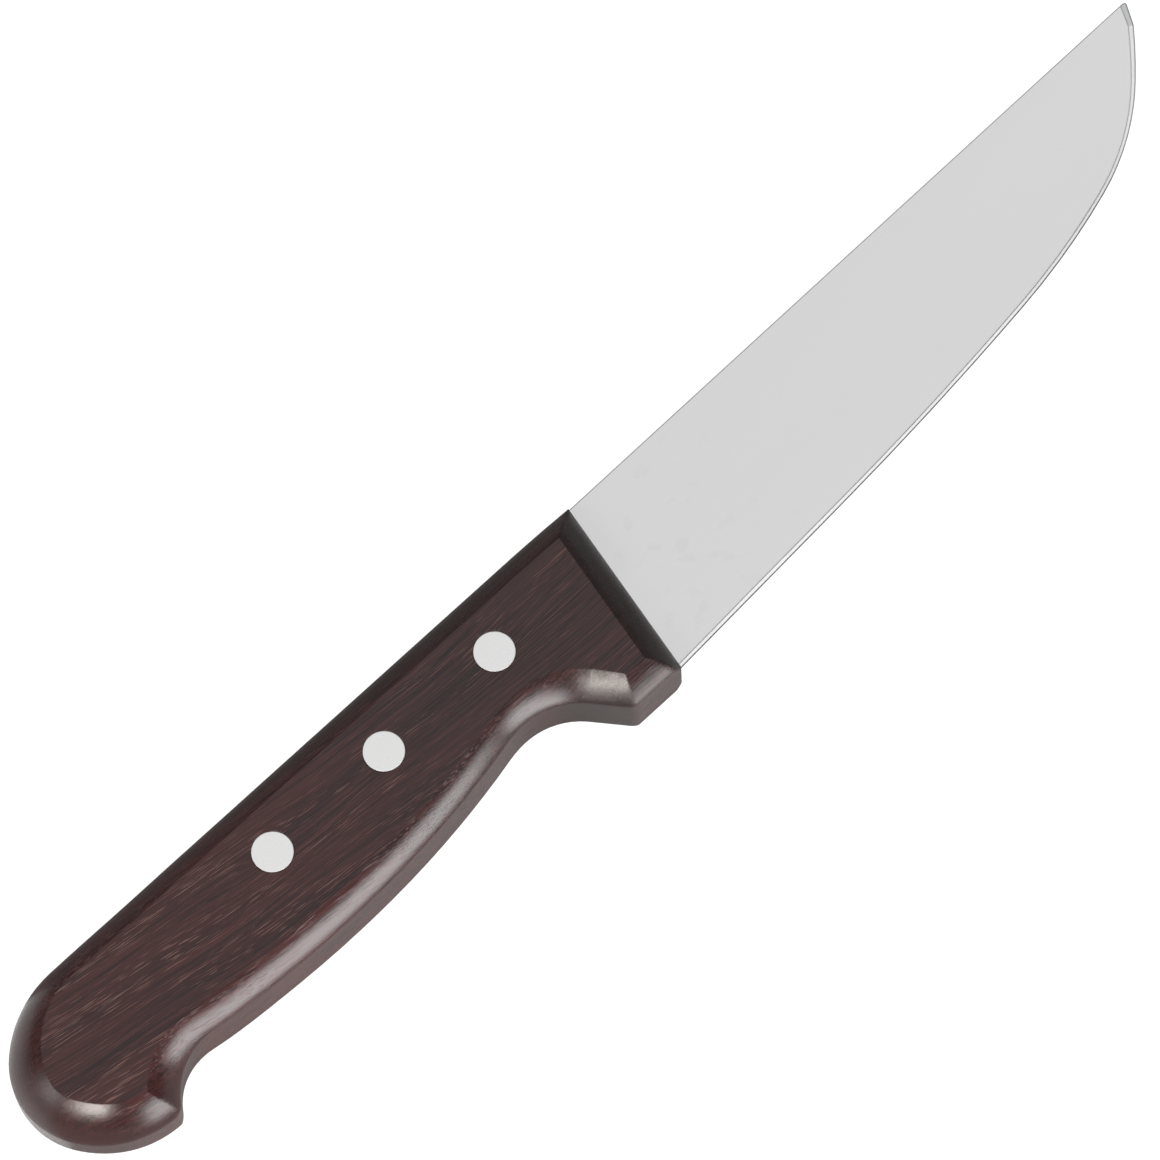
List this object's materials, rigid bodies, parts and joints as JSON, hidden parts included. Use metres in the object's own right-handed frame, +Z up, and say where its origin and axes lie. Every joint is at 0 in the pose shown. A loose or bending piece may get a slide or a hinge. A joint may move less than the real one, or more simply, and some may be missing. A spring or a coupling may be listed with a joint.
{
  "type": "butcher knife",
  "caption": "Butcher's knife: broad satin steel blade with a straight spine and curved tip, tang riveted into a dark hardwood handle with guard and hooked pommel.",
  "frame": {"origin": "centre of the bounding box on the plane that the knife lies on", "axes": "the knife lies on its side: +X towards the tip, +Y towards the spine, +Z up through the thickness"},
  "size_m": [0.284, 0.0372, 0.0184],
  "materials": {
    "blade_steel": "fine satin",
    "handle_wood": "oiled and polished dark rosewood",
    "rivet_metal": "ground flush, matt"
  },
  "bodies": {
    "root": {"blade": "blade_steel", "handle": "handle_wood", "front_rivet_tube": "rivet_metal", "front_rivet_pin": "rivet_metal", "middle_rivet_tube": "rivet_metal", "middle_rivet_pin": "rivet_metal", "rear_rivet_tube": "rivet_metal", "rear_rivet_pin": "rivet_metal"}
  },
  "joints": []
}
